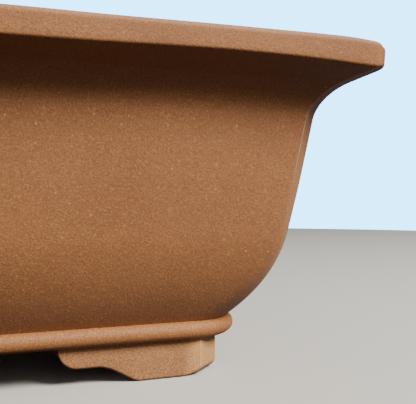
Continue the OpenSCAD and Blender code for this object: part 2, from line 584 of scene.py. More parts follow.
class GeometryGraph(Graph):
    """A Graph on a Geometry Nodes tree, with named inputs."""

    def __init__(self, name: str, inputs: Iterable[Tuple[str, str]]) -> None:
        """Makes the tree and its interface.

        Args:
            name: Name of the tree.
            inputs: Pairs of input name and socket type, after the geometry.
        """
        super().__init__(bpy.data.node_groups.new(name, "GeometryNodeTree"))
        interface = self.tree.interface
        interface.new_socket("Geometry", in_out="OUTPUT", socket_type="NodeSocketGeometry")
        interface.new_socket("Geometry", in_out="INPUT", socket_type="NodeSocketGeometry")
        self.identifiers: Dict[str, str] = {}
        for title, kind in inputs:
            made = interface.new_socket(title, in_out="INPUT", socket_type=kind)
            self.identifiers[title] = made.identifier
        self.group_in = self.node("NodeGroupInput")
        self.group_out = self.node("NodeGroupOutput")

    def given(self, title: str) -> Field:
        """The field of a named input."""
        return Field(self, self.group_in.outputs[title])

    def attribute(self, name: str) -> Field:
        """The field of a named attribute."""
        feeds = {"Name": name}
        return self.wired("GeometryNodeInputNamedAttribute", feeds, "Attribute", data_type="FLOAT")

    def stored(self, geometry: Field, name: str, value: Term) -> Field:
        """Stores a value on a geometry's points.

        Args:
            geometry: The geometry.
            name: Name of the attribute.
            value: What to store.

        Returns:
            The geometry with the attribute.
        """
        feeds = {"Geometry": geometry, "Name": name, "Value": value}
        return self.wired("GeometryNodeStoreNamedAttribute", feeds, data_type="FLOAT", domain="POINT")

    def moved(self, geometry: Field, **feeds: Term) -> Field:
        """A geometry's points set to a Position, or shifted by an Offset."""
        return self.wired("GeometryNodeSetPosition", {"Geometry": geometry, **feeds})

    def turned(self, geometry: Field, **feeds: Term) -> Field:
        """A geometry moved as a whole by a Translation and a Rotation."""
        return self.wired("GeometryNodeTransform", {"Geometry": geometry, **feeds})

    def joined(self, *geometries: Field) -> Field:
        """Some geometries as one.

        Args:
            *geometries: The geometries.

        Returns:
            The whole.
        """
        made = self.node("GeometryNodeJoinGeometry")
        for geometry in geometries:
            self.feed(made.inputs[0], geometry)
        return self.out(made, 0)[0]

    def finish(self, geometry: Field) -> None:
        """Ends the tree in Realize Instances and Set Material.

        Args:
            geometry: What the tree has made.
        """
        real = self.wired("GeometryNodeRealizeInstances", {"Geometry": geometry})
        feeds = {"Geometry": real, "Material": self.given("Clay")}
        self.feed(self.group_out.inputs["Geometry"], self.wired("GeometryNodeSetMaterial", feeds))

    def run(self, name: str, base: bpy.types.Mesh, values: Dict[str, object]) -> bpy.types.Object:
        """Runs the tree on a mesh and bakes what it makes.

        Args:
            name: Name of the finished piece.
            base: The mesh the tree starts from.
            values: Values of the named inputs.

        Returns:
            A plain mesh object at the origin, without modifiers.
        """
        shaper = bpy.data.objects.new(name + "_shaper", base)
        bpy.context.scene.collection.objects.link(shaper)
        modifier = shaper.modifiers.new("shape", "NODES")
        modifier.node_group = self.tree
        for title, value in values.items():
            modifier[self.identifiers[title]] = value
        bpy.context.view_layer.update()
        graph = bpy.context.evaluated_depsgraph_get()
        mesh = bpy.data.meshes.new_from_object(shaper.evaluated_get(graph))
        shaper.modifiers.remove(modifier)
        bpy.data.objects.remove(shaper)
        mesh.name = name
        piece = bpy.data.objects.new(name, mesh)
        bpy.context.scene.collection.objects.link(piece)
        return piece


def sockets(kind: str, *titles: str) -> List[Tuple[str, str]]:
    """Pairs of input name and socket type, all of one type."""
    return [(title, "NodeSocket" + kind) for title in titles]


STEP_INPUTS = ("Run steps", "Arris steps", "Cut steps")
# What a member without a rim, and one without feet, leaves alone.
RIM_INPUTS = {"Corner dip": 0.0, "Rim waver": 0.0, "Rim rise": 0.0}
FOOT_INPUTS = {
    "Far end": 0.0,
    "Crowding": 1.0,
    "Corner set-in": 0.0,
    "Toe start": 0.0,
    "Toe end": 1.0,
    "Lobe height": 0.0,
    "Lobe rise": 1.0,
    "Sole lift": 0.0,
}
SWEEP_INPUTS = (
    *sockets("Int", *STEP_INPUTS),
    *sockets("Vector", "Place", "Turn"),
    *sockets("Float", "Half length", "Hand waver", *RIM_INPUTS, *FOOT_INPUTS),
    *sockets("Material", "Clay"),
)

# Stretches of the rim and the feet in metres, most of them measured in from the pot's end.
WAVE_START, WAVE_LENGTH, WAVE_LIFT = 0.118, 0.14, 0.2
SWELL, SWELL_DEPTH = (0.030, 0.006), 0.9
TUCK, TUCK_DEPTH = (0.0090, 0.0030), 2.0
RISE_FROM, RISE_OVER = 0.125, 0.095
DIP_FROM, DIP_OVER, DIP_CURVE = 0.020, 0.018, 1.6
# Where a foot's corner is painted paler, in from the pot's end, and how much: partly wear, partly painted
# light of the lit corner.
TOE_WEAR_AND_LIGHT, TOE_SHARE = (0.0175, 0.0100), 0.5
OGEE_CURVE = 0.7
SOLE_FROM, SOLE_OVER, SOLE_CURVE = 0.0155, 0.0065, 1.6
# The waver of the slabs: size of a swell, and the height under which the soles stay level.
WAVER_SIZE, WAVER_DETAIL, WAVER_FREE = 0.055, 1.5, 0.012
RAIL_STEP = (0.0, 0.0, 0.01)


class SweepGraph(GeometryGraph):
    """Carries a section along one side, mitred on the corner diagonals.

    Half of the way is three stretches: the straight run, the arris where the
    run turns by 45 degrees, and half of the cut corner, up to the diagonal.
    The other half mirrors it: across the middle of a side, or across the
    diagonal of a corner.
    """

    def __init__(self, sweep: Sweep) -> None:
        """Builds the tree.

        Args:
            sweep: Along a side, or round a corner.
        """
        super().__init__(sweep.value, SWEEP_INPUTS)
        self.sweep = sweep
        member = self.shaped(self.strip())
        placed = self.turned(member, Translation=self.given("Place"), Rotation=self.given("Turn"))
        self.finish(self.wavered(placed))

    def strip(self) -> Field:
        """Makes a straight tube of the section, one ring for each step of the way.

        Returns:
            The tube, with a closed cap at each end.
        """
        run, arris, cut = (self.given(title) for title in STEP_INPUTS)
        half = run + arris + cut
        feeds = {"Count": half * 2.0 + 1.0, "Offset": RAIL_STEP}
        rail = self.wired("GeometryNodeMeshLine", feeds, mode="OFFSET")
        rail = self.stored(rail, "station", self.wired("GeometryNodeInputIndex", {}) - half)
        lines = (rail, self.given("Geometry"))
        rail, section = (self.wired("GeometryNodeMeshToCurve", {"Mesh": line}) for line in lines)
        feeds = {"Curve": rail, "Profile Curve": section, "Fill Caps": True}
        return self.wired("GeometryNodeCurveToMesh", feeds)

    def shaped(self, strip: Field) -> Field:
        """Moves every point of the tube to its place in plan and in height.

        Args:
            strip: The straight tube.

        Returns:
            The member in the front side's place, with its wear and painted highlight stored as "arris".
        """
        station = self.attribute("station")
        set_in, height, leg, turn = (self.attribute(name) for name in LENGTHS)
        run, arris, cut = (self.given(title) for title in STEP_INPUTS)
        half = self.given("Half length")
        step = self.math("ABSOLUTE", station)
        if self.sweep is Sweep.ROUND_CORNER:
            step = run + arris + cut - step
        share_run = self.held(step / run) ** self.given("Crowding")
        share_arris = self.held((step - run) / arris)
        share_cut = self.held((step - run - arris) / cut)
        bend = share_arris * EIGHTH
        run_end = half - set_in - leg - turn * math.tan(EIGHTH / 2)
        far = self.given("Far end")
        arris_x = run_end + turn * math.sin(EIGHTH)
        arris_y = set_in + turn * (1.0 - math.cos(EIGHTH))
        along = (
            far
            + (run_end - far) * share_run
            + turn * self.math("SINE", bend)
            + share_cut * (half - set_in - leg * 0.5 - arris_x)
        )
        across = (
            set_in
            + turn * (1.0 - self.math("COSINE", bend))
            + share_cut * (set_in + leg * 0.5 - arris_y)
        )
        from_end = half - along
        level = height + self.attribute("hang") * self.underside(from_end)
        if self.sweep is Sweep.ALONG_SIDE:
            level = level + self.rim_waver(along, from_end)
            place = self.vector(along * self.math("SIGN", station), across, level)
        else:
            level = self.math("MINIMUM", level, self.attribute("crown"))
            other = self.math("LESS_THAN", station, 0.0)
            u = from_end + (across - from_end) * other
            v = across + (from_end - across) * other
            place = self.vector(u * -1.0, v, level)
        # The pale line along the arrises: partly wear, partly a painted highlight where the arris catches
        # the light.
        worn = self.math("SINE", share_arris * math.pi)
        # On the feet the outer face near the corner is painted paler too: partly wear, partly painted
        # light.
        if self.sweep is Sweep.ROUND_CORNER:
            toe = self.eased(from_end - self.given("Corner set-in"), *TOE_WEAR_AND_LIGHT)
            worn = worn * TOE_SHARE + toe * TOE_SHARE
        worn = self.math("MAXIMUM", self.attribute("worn") * worn, self.attribute("edge"))
        return self.moved(self.stored(strip, "arris", worn), Position=place)

    def rim_waver(self, along: Field, from_end: Field) -> Field:
        """The rim's unevenness: a wave below, a slow rise on top, and a dip at the corner.

        Args:
            along: Distance from the middle of the side.
            from_end: Distance from the pot's end.

        Returns:
            What to add to the height.
        """
        wave = self.math("COSINE", (along - WAVE_START) * (math.tau / WAVE_LENGTH)) + WAVE_LIFT
        swell = self.eased(from_end, *SWELL) * SWELL_DEPTH
        tuck = self.eased(from_end, *TUCK) * TUCK_DEPTH
        lower = (wave - swell + tuck) * self.given("Rim waver") * self.attribute("lower")
        rise = self.held((RISE_FROM - from_end) / RISE_OVER) * self.given("Rim rise")
        dip = self.held((DIP_FROM - from_end) / DIP_OVER) ** DIP_CURVE * self.given("Corner dip")
        return lower + (rise - dip) * self.attribute("crown")

    def underside(self, from_end: Field) -> Field:
        """Height of a foot's underside: flat toe, ogee, and a round lobe at the tip.

        Args:
            from_end: Distance from the pot's end.

        Returns:
            The height, with the lift of the sole near the corner.
        """
        start, end = self.given("Toe start"), self.given("Toe end")
        lobe, far = self.given("Lobe height"), self.given("Lobe rise")
        ogee = self.eased(from_end, start, end) ** OGEE_CURVE * lobe
        tip = self.given("Half length") - self.given("Far end")
        inner = self.held((from_end - tip + far) / far)
        curl = (1.0 - self.math("SQRT", self.math("MAXIMUM", 1.0 - inner * inner, 0.0))) * far
        lift = self.held((self.given("Corner set-in") + SOLE_FROM - from_end) / SOLE_OVER)
        return ogee + curl + lift**SOLE_CURVE * self.given("Sole lift") * self.attribute("lower")

    def wavered(self, geometry: Field) -> Field:
        """Adds the slow unevenness of hand-beaten slabs, the same field for every member.

        Args:
            geometry: The member in its place.

        Returns:
            The member with its points shifted.
        """
        here = self.wired("GeometryNodeInputPosition", {})
        feeds = {"Vector": here, "Scale": 1.0 / WAVER_SIZE, "Detail": WAVER_DETAIL}
        noise = self.wired("ShaderNodeTexNoise", feeds, "Color", noise_dimensions="3D")
        amount = self.given("Hand waver")
        x, y, z = ((part - 0.5) * amount for part in self.parts(noise))
        free = self.held(self.parts(here)[2] / WAVER_FREE)
        return self.moved(geometry, Offset=self.vector(x, y, z * free))


SLAB_INPUTS = (
    *sockets("Float", "Slab length", "Slab width", "Corner radius", "Thickness", "Underside"),
    *sockets("Float", "Drain radius", "Drain gap", "Wire radius"),
    *sockets("Vector", "Wire spread"),
    *sockets("Material", "Clay"),
)
# Points of a corner of the slab, of a drain hole and of a tie-wire hole.
FILLET_POINTS, DRAIN_POINTS, WIRE_POINTS = 14, 48, 24


class SlabGraph(GeometryGraph):
    """Rounded slab with two drain holes and four tie-wire holes."""

    def __init__(self) -> None:
        """Builds the tree."""
        super().__init__("floor slab", SLAB_INPUTS)
        feeds = {"Width": self.given("Slab length"), "Height": self.given("Slab width")}
        outline = self.wired("GeometryNodeCurvePrimitiveQuadrilateral", feeds, mode="RECTANGLE")
        feeds = {"Curve": outline, "Radius": self.given("Corner radius"), "Count": FILLET_POINTS}
        outline = self.wired("GeometryNodeFilletCurve", feeds, mode="POLY")
        drains = self.holes("Drain radius", DRAIN_POINTS, self.drain_places())
        wires = self.holes("Wire radius", WIRE_POINTS, self.wire_places())
        flat = self.wired("GeometryNodeFillCurve", {"Curve": self.joined(outline, drains, wires)})
        flat = self.turned(flat, Translation=self.vector(0.0, 0.0, self.given("Underside")))
        feeds = {
            "Mesh": flat,
            "Offset": self.vector(0.0, 0.0, 1.0),
            "Offset Scale": self.given("Thickness"),
            "Individual": False,
        }
        raised = self.wired("GeometryNodeExtrudeMesh", feeds, mode="FACES")
        under = self.wired("GeometryNodeFlipFaces", {"Mesh": flat})
        feeds = {"Geometry": self.joined(raised, under), "Distance": 1e-5}
        self.finish(self.wired("GeometryNodeMergeByDistance", feeds))

    def drain_places(self) -> Field:
        """Two points on the long middle line.

        Returns:
            The points as a mesh.
        """
        gap = self.given("Drain gap")
        start, step = self.vector(gap * -0.5, 0.0, 0.0), self.vector(gap, 0.0, 0.0)
        feeds = {"Count": 2, "Start Location": start, "Offset": step}
        return self.wired("GeometryNodeMeshLine", feeds, mode="OFFSET")

    def wire_places(self) -> Field:
        """Four points of a rectangle round the middle.

        Returns:
            The points as a mesh.
        """
        x, y, _ = self.parts(self.given("Wire spread"))
        feeds = {"Size X": x, "Size Y": y, "Vertices X": 2, "Vertices Y": 2}
        return self.wired("GeometryNodeMeshGrid", feeds)

    def holes(self, radius: str, points: int, places: Field) -> Field:
        """One circle at each of some places.

        Args:
            radius: Name of the input that gives the radius.
            points: How many points a circle has.
            places: Where the circles go.

        Returns:
            The circles as real curves.
        """
        feeds = {"Resolution": points, "Radius": self.given(radius)}
        ring = self.wired("GeometryNodeCurvePrimitiveCircle", feeds, mode="RADIUS")
        rings = self.wired("GeometryNodeInstanceOnPoints", {"Points": places, "Instance": ring})
        return self.wired("GeometryNodeRealizeInstances", {"Geometry": rings})


# ---------------------------------------------------------------- finishes


class ShaderGraph(Graph):
    """A Graph on the tree of a material or of the world."""

    def noise(self, place: Field, size: float, detail: float) -> Field:
        """Cloudy noise.

        Args:
            place: Where on the piece, in metres.
            size: Size of a cloud in metres.
            detail: How many finer layers it has.

        Returns:
            The noise, about 0.5.
        """
        feeds = {"Vector": place, "Scale": 1.0 / size, "Detail": detail, "Roughness": 0.62}
        return self.wired("ShaderNodeTexNoise", feeds, "Fac", noise_dimensions="3D")

    def specks(self, place: Field, apart: float, share: float) -> Field:
        """Round grains, scattered one to a cell.

        Args:
            place: Where on the piece, in metres.
            apart: Size of a cell in metres.
            share: Share of the cells that hold a grain.

        Returns:
            How much of the place is grain.
        """
        cells = self.node("ShaderNodeTexVoronoi", {"Vector": place, "Scale": 1.0 / apart}, feature="F1")
        tint, distance = self.out(cells, "Color", "Distance")
        pick, size, _ = self.parts(tint)
        near = 1.0 - self.eased(distance, 0.10, 0.24)
        return near * self.math("LESS_THAN", pick, share) * (0.45 + size * 0.55)

    def blend(self, share: Field, first: object, second: object, most: float = 1.0) -> Field:
        """Mixes two colours.

        Args:
            share: How much of the second colour, held between 0 and 1.
            first: Colour or field.
            second: Colour or field.
            most: The most that the second colour may count.

        Returns:
            The mixed colour.
        """
        feeds = {0: self.held(share) * most}
        for number, colour in ((6, first), (7, second)):
            feeds[number] = colour if isinstance(colour, Field) else (*colour, 1.0)
        return self.wired("ShaderNodeMix", feeds, 2, data_type="RGBA")

    def bump(self, height: Field, depth: float, under: Optional[Field]) -> Field:
        """One layer of relief on top of another.

        Args:
            height: The relief.
            depth: Its depth in metres.
            under: The layer below, if there is one.

        Returns:
            The normal.
        """
        feeds = {"Height": height, "Distance": depth}
        if under is not None:
            feeds["Normal"] = under
        return self.wired("ShaderNodeBump", feeds, "Normal")


# Sizes of the clay's patterns in metres, and how far the marks of wiping are drawn out.
CLOUD, MOTTLE, STREAK = 0.032, 0.0040, 0.0022
WIPING = (0.10, 0.10, 1.0)


@dataclass(frozen=True)
class ClayFinish:
    """Fired, unglazed brown stoneware with a fine sandy skin."""

    name: str
    tone: Colour = (0.372, 0.160, 0.058)
    dark: Colour = (0.215, 0.078, 0.026)
    pale: Colour = (0.580, 0.300, 0.105)
    sand: Colour = (0.720, 0.350, 0.100)
    pit: Colour = (0.130, 0.048, 0.018)
    # Pale colour of a few grains, and of the arris line, which is partly wear and partly painted
    # highlight.
    worn: Colour = (0.660, 0.450, 0.300)
    sandy: float = 0.46
    grain: float = 0.00058
    grain_depth: float = 0.00012
    lump_depth: float = 0.00005
    wiped: float = 0.0
    roughness: float = 0.62
    sheen: float = 0.10

    def material(self) -> bpy.types.Material:
        """Writes the finish as a material on Object coordinates.

        Returns:
            The new material.
        """
        made = bpy.data.materials.new(self.name)
        made.use_nodes = True
        made.node_tree.nodes.clear()
        graph = ShaderGraph(made.node_tree)
        place = graph.wired("ShaderNodeTexCoord", {}, "Object")
        fine, broad, mid = (
            graph.noise(place, size, detail)
            for size, detail in ((self.grain, 3.0), (CLOUD, 4.0), (MOTTLE, 3.0))
        )
        arris = graph.wired("ShaderNodeAttribute", {}, "Fac", attribute_name="arris")
        # Each row lays a colour over those before it: how much, which, and the most it may count.
        coats = (
            ((broad - 0.05) * 0.95, self.tone, 1.0),
            ((mid - 0.52) * 1.5, self.pale, 0.12),
            ((fine - 0.52) * 5.0, self.pale, self.sandy),
            ((0.49 - fine) * 6.0, self.dark, 0.90),
            (graph.specks(place, 0.0014, 0.12), self.pit, 0.55),
            (graph.specks(place, 0.0021, 0.11), self.sand, 0.62),
            (graph.specks(place, 0.0031, 0.010), self.worn, 0.55),
            # The arris line: partly wear, partly a painted highlight.
            (arris * (0.35 + fine * 0.9), self.worn, 0.85),
        )
        colour = self.dark
        for share, coat, most in coats:
            colour = graph.blend(share, colour, coat, most)
        relief = [(fine, self.grain_depth), (mid, self.lump_depth * 2.0)]
        if self.wiped > 0.0:
            stretch = graph.wired("ShaderNodeMapping", {"Vector": place, "Scale": WIPING})
            relief.append((graph.noise(stretch, STREAK, 3.0), self.wiped))
        normal = None
        for height, depth in relief:
            normal = graph.bump(height, depth, normal)
        feeds = {
            "Base Color": colour,
            "Roughness": self.roughness + (0.5 - fine) * 0.22,
            "Specular IOR Level": 0.42,
            "Sheen Weight": self.sheen,
            "Sheen Roughness": 0.6,
            "Sheen Tint": (0.95, 0.80, 0.68, 1.0),
            "Normal": normal,
        }
        surface = graph.wired("ShaderNodeBsdfPrincipled", feeds)
        graph.node("ShaderNodeOutputMaterial", {"Surface": surface})
        return made


# ---------------------------------------------------------------- members


# Points closer than MERGE metres are one, and edges shorter than SPECK go.
MERGE, SPECK = 1e-6, 1e-7
# Edges sharper than this stay sharp, in degrees.
SLAB_SHARP, MEMBER_SHARP = 50.0, 40.0


def finish_piece(piece: bpy.types.Object, node: str, slot: str, smooth_angle: float) -> bpy.types.Object:
    """Closes a piece's mesh, shades it and puts it in the frame.

    Args:
        piece: The piece, at the origin.
        node: The CAD node it stands for.
        slot: The record's material slot; not used.
        smooth_angle: Edges sharper than this stay sharp, in degrees.

    Returns:
        The same piece.
    """
    work = bmesh.new()
    work.from_mesh(piece.data)
    bmesh.ops.remove_doubles(work, verts=work.verts, dist=MERGE)
    bmesh.ops.dissolve_degenerate(work, edges=work.edges, dist=SPECK)
    bmesh.ops.recalc_face_normals(work, faces=work.faces)
    open_edges = sum(1 for e in work.edges if len(e.link_faces) != 2)
    clay = next(m for m in piece.data.materials if m is not None)
    for face in work.faces:
        face.smooth = True
        face.material_index = 0
    work.to_mesh(piece.data)
    work.free()
    piece.data.materials.clear()
    piece.data.materials.append(clay)
    piece.data.set_sharp_from_angle(angle=math.radians(smooth_angle))
    body = next(iter(frame["bodies"]))
    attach(piece, body)
    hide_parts(node)
    LOG.info("%s: %d faces, %d open edges", piece.name, len(piece.data.polygons), open_edges)
    return piece


@dataclass
class FloorSlab:
    """The slab that the walls stand on."""

    sizes: PotSizes
    edge: float = 0.7
    edge_steps: int = 3
    hard_angle: float = 1.0
    finish: ClayFinish = ClayFinish("floor clay", lump_depth=0.00009, wiped=0.00012)

    def build(self) -> List[bpy.types.Object]:
        """Makes the slab.

        Returns:
            The slab as the only piece of a list.
        """
        s = self.sizes
        thick = s.floor_top - s.floor_under
        values = {
            "Slab length": (s.length - 2 * s.floor_in) * MM,
            "Slab width": (s.width - 2 * s.floor_in) * MM,
            "Corner radius": (s.band_turn - thick / 2) * MM,
            "Thickness": thick * MM,
            "Underside": s.floor_under * MM,
            "Drain radius": s.drain / 2 * MM,
            "Drain gap": s.drain_gap * MM,
            "Wire radius": s.wire / 2 * MM,
            "Wire spread": (2 * s.wire_x * MM, 2 * s.wire_y * MM, 0.0),
            "Clay": self.finish.material(),
        }
        slab = SlabGraph().run("floor_slab_clay", bpy.data.meshes.new("slab_base"), values)
        self.soften(slab)
        return [finish_piece(slab, "floor_slab", "clay_floor", SLAB_SHARP)]

    def soften(self, slab: bpy.types.Object) -> None:
        """Rounds the slab's arrises and the edges of its holes a little.

        Args:
            slab: The slab, which changes in place.
        """
        work = bmesh.new()
        work.from_mesh(slab.data)
        hard = [e for e in work.edges if len(e.link_faces) == 2 and e.calc_face_angle() > self.hard_angle]
        bmesh.ops.bevel(
            work,
            geom=hard,
            offset=self.edge * MM,
            offset_type="OFFSET",
            segments=self.edge_steps,
            profile=0.5,
            affect="EDGES",
            material=-1,
        )
        work.to_mesh(slab.data)
        work.free()


@dataclass
class SweptMember:
    """A member whose pieces are all one section, each carried in its own place."""

    sizes: PotSizes
    graph: SweepGraph
    label: str = "member"
    slot: str = "clay_wall"
    steps: Tuple[int, int, int] = (60, 6, 4)
    hand_waver: float = 0.5
    finish: ClayFinish = ClayFinish("clay")

    def section(self) -> List[SectionPoint]:
        """The member's section, which each kind of member draws for itself."""
        raise NotImplementedError

    def places(self) -> Iterable[Tuple[str, Dict[str, object]]]:
        """Each piece's place name and the inputs that are its own."""
        raise NotImplementedError

    def shape(self) -> Dict[str, float]:
        """The inputs that only this kind of member has, for all of its pieces."""
        return {}

    def build(self) -> List[bpy.types.Object]:
        """Makes the member's pieces.

        Returns:
            One piece for each place.
        """
        values = {**RIM_INPUTS, **FOOT_INPUTS, **dict(zip(STEP_INPUTS, self.steps)), **self.shape()}
        values["Hand waver"] = self.hand_waver * MM
        values["Clay"] = self.finish.material()
        pieces = []
        for place, own in self.places():
            name = f"{self.label}_{place}"
            base = section_mesh(name + "_section", self.section())
            piece = self.graph.run(name + "_clay", base, {**values, **own})
            pieces.append(finish_piece(piece, name, self.slot, MEMBER_SHARP))
        return pieces


class RingMember(SweptMember):
    """A member that runs along all four sides, one mitred piece on each."""

    def places(self) -> Iterable[Tuple[str, Dict[str, object]]]:
        """Each side's name, with its half length, its middle and its turn.

        Yields:
            The pairs, front, right, back and left.
        """
        s = self.sizes
        for side in Side:
            length, depth = (s.length, s.width) if side.value % 2 == 0 else (s.width, s.length)
            angle = side.value * math.pi / 2
            middle = Vector((math.sin(angle), -math.cos(angle), 0.0)) * depth / 2 * MM
            yield side.label, {
                "Half length": length / 2 * MM,
                "Place": tuple(middle),
                "Turn": (0.0, 0.0, angle),
            }


def corner_radius(radius: float) -> Dict[str, float]:
    """Leg and turn that together make one full round corner of a radius."""
    return {"leg": radius * CORNER_SHARE * CORNER_SPARE, "turn": radius}


@dataclass
class Walls(RingMember):
    """The four walls, from the floor slab to the lip."""

    label: str = "wall"
    slot: str = "clay_wall"
    finish: ClayFinish = ClayFinish("wall clay")
    neck_arris: float = 0.45
    base_arris_share: float = 1.5
    arris_soft: Point = (70.0, 30.0)
    # The pale arris line, partly wear and partly painted highlight, fades out downwards: gone below the
    # first height, whole above the first plus the second.
    wear: Point = (62.0, 16.0)
    hollow_radius: float = 10.0
    fillet: float = 8.0
    fillet_from: float = 4.0
    fillet_run: float = 20.0
    rows: Tuple[int, int, int, int] = (27, 16, 22, 44)

    def arris(self, z: float) -> float:
        """Rounding of the outer arrises at a height: crisp at the neck, soft on the belly.

        Args:
            z: Height above the table.

        Returns:
            The radius.
        """
        start, over = self.arris_soft
        soft = self.base_arris_share * self.sizes.cut_leg(z)
        return self.neck_arris + (soft - self.neck_arris) * smooth((start - z) / over)

    def outer(self, heights: Iterable[float]) -> List[SectionPoint]:
        """Points of the outer face.

        Args:
            heights: Heights from the floor slab up.

        Returns:
            The points in the same order.
        """
        s = self.sizes
        start, over = self.wear
        return [
            SectionPoint(s.face_in(z), z, s.cut_leg(z), self.arris(z), worn=smooth((z - start) / over))
            for z in heights
        ]

    def section(self) -> List[SectionPoint]:
        """Draws the outer face up, the lip joint, the inner face down and the slab joint.

        Returns:
            The section's points in order.
        """
        s = self.sizes
        belly, face, cove, inside = self.rows
        heights = (
            spread(s.floor_top, s.belly_top[1], belly)[:-1]
            + spread(s.belly_top[1], s.cove_end[1], face)[:-1]
            + spread(s.cove_end[1], s.lip_foot - JOINT_STEP, cove)
            + [s.lip_foot]
        )
        points = self.outer(heights)
        hollow = corner_radius(self.hollow_radius)
        outer, inner_top = points[-1], SectionPoint(s.hollow_in(s.lip_foot), s.lip_foot, **hollow)
        points += [between(outer, inner_top, share) for share in THIRDS]
        inner = [(s.hollow_in(z), z) for z in spread(s.lip_foot, s.floor_top + self.fillet_from, inside)]
        foot = (s.hollow_in(s.floor_top), s.floor_top)
        along_floor = (foot[0] + self.fillet_run, s.floor_top + JOINT_STEP)
        inner += rounded(inner[-1], foot, along_floor, self.fillet, ROUND_POINTS)
        points += [SectionPoint(x, z, **hollow) for x, z in inner]
        last, first = points[-1], points[0]
        for share in (0.2, 0.4, 0.6, 0.8):
            points.append(replace(between(last, first, share), height=s.floor_top))
        return points


@dataclass
class Lip(RingMember):
    """The flared lip strips on top of the walls."""

    label: str = "lip"
    slot: str = "clay_lip"
    finish: ClayFinish = ClayFinish(
        "lip clay",
        tone=(0.368, 0.156, 0.050),
        pale=(0.56, 0.29, 0.095),
        # Pale colour of the rim's arrises: partly wear, partly a painted highlight.
        worn=(0.64, 0.40, 0.23),
        sandy=0.30,
        sheen=0.05,
    )
    corner_dip: float = 1.35
    rim_waver: float = 0.5
    rim_rise: float = 0.75
    cove_arris: float = 0.45
    arris_round: float = 4.2
    under_round: float = 1.1
    hollow_radius: float = 10.0
    # How pale the rim's arrises get: on the face's corner partly wear and partly painted highlight, on
    # the rounded top a painted highlight.
    face_wear: float = 0.12
    top_wear: float = 0.22

    def shape(self) -> Dict[str, float]:
        """The unevenness of the rim."""
        return {
            "Corner dip": self.corner_dip * MM,
            "Rim waver": self.rim_waver * MM,
            "Rim rise": self.rim_rise * MM,
        }

    def section(self) -> List[SectionPoint]:
        """Draws the cove, underside, rim face, rounded top, inner face and joint.

        Returns:
            The section's points in order.
        """
        s = self.sizes
        heights = (
            [s.lip_foot, s.lip_foot + JOINT_STEP]
            + spread(s.lip_foot + 0.5, s.cove_top[1], 6)
            + spread(s.cove_top[1], s.face_z, 8)[1:-1]
        )
        points = [self.cove_point(z) for z in heights]
        top_out, foot_out = (0.0, s.height), (s.rim_slant, s.face_z)
        top_in = (s.hollow_in(s.height), s.height)
        path = rounded(s.cove_top, foot_out, top_out, self.under_round, 5)
        face = spread(s.face_z + 2.0, s.height - 2.2, 6)
        path += [(s.rim_slant * (s.height - z) / s.rim_face, z) for z in face]
        path += rounded(foot_out, top_out, top_in, s.rim_edge, ROUND_POINTS)
        points += [self.rim_point(x, z) for x, z in path]
        hollow = corner_radius(self.hollow_radius)
        inner_foot = (s.hollow_in(s.lip_foot), s.lip_foot)
        inner = rounded(top_out, top_in, inner_foot, s.rim_inner_edge, ROUND_POINTS)
        start, end = points[-1], SectionPoint(*inner[0], **hollow)
        for share in (0.1, 0.2, 0.35, 0.5, 0.65, 0.8, 0.9):
            crown = (1.0 - share) ** 1.5
            points.append(replace(between(start, end, share), crown=crown, height=s.height))
        inner += [(s.hollow_in(z), z) for z in spread(s.height - 3.5, s.lip_foot, 8)]
        points += [SectionPoint(x, z, **hollow) for x, z in inner]
        last, first = points[-1], points[0]
        return points + [between(last, first, share) for share in THIRDS]

    def cove_point(self, z: float) -> SectionPoint:
        """A point of the cove or of the underside of the rim.

        Args:
            z: Height above the table.

        Returns:
            The point.
        """
        s = self.sizes
        rise = max(0.0, (z - s.cove_top[1]) / (s.face_z - s.cove_top[1]))
        return SectionPoint(s.face_in(z), z, s.cut_leg(z), self.cove_arris, worn=1.0, lower=rise)

    def rim_point(self, x: float, z: float) -> SectionPoint:
        """A point of the rim face or its rounded arrises, set in evenly round the cut corner.

        Args:
            x: Set-in of the point.
            z: Height above the table.

        Returns:
            The point.
        """
        s = self.sizes
        up = (z - s.face_z) / s.rim_face
        return SectionPoint(
            x,
            z,
            s.rim_cut - CORNER_SHARE * x,
            self.arris_round,
            worn=self.face_wear,
            # Painted highlight on the rim's rounded top arris.
            edge=self.top_wear * smooth((up - 0.80) / 0.15),
            crown=smooth((up - 0.25) / 0.75),
            lower=1.0 - smooth(up / 0.6),
        )


@dataclass
class Band(RingMember):
    """The half-round band strips round the edge of the floor slab."""

    label: str = "band"
    slot: str = "clay_band"
    steps: Tuple[int, int, int] = (50, 14, 1)
    finish: ClayFinish = ClayFinish(
        "band clay", tone=(0.425, 0.184, 0.058), pale=(0.60, 0.31, 0.100), sheen=0.03
    )
    round_points: int = 25
    flat_from: float = 0.8

    def section(self) -> List[SectionPoint]:
        """Draws the half round outwards and the flat against the slab.

        Returns:
            The section's points in order.
        """
        s = self.sizes
        radius = (s.floor_top - s.floor_under) / 2
        nose = s.floor_in - radius
        path = arc((s.floor_in, s.floor_under + radius), radius, 270.0, 90.0, self.round_points)
        flat = spread(s.floor_top - self.flat_from, s.floor_under + self.flat_from, 4)
        path += [(s.floor_in + JOINT_STEP, z) for z in flat]
        return [SectionPoint(x, z, **corner_radius(s.band_turn - (x - nose))) for x, z in path]


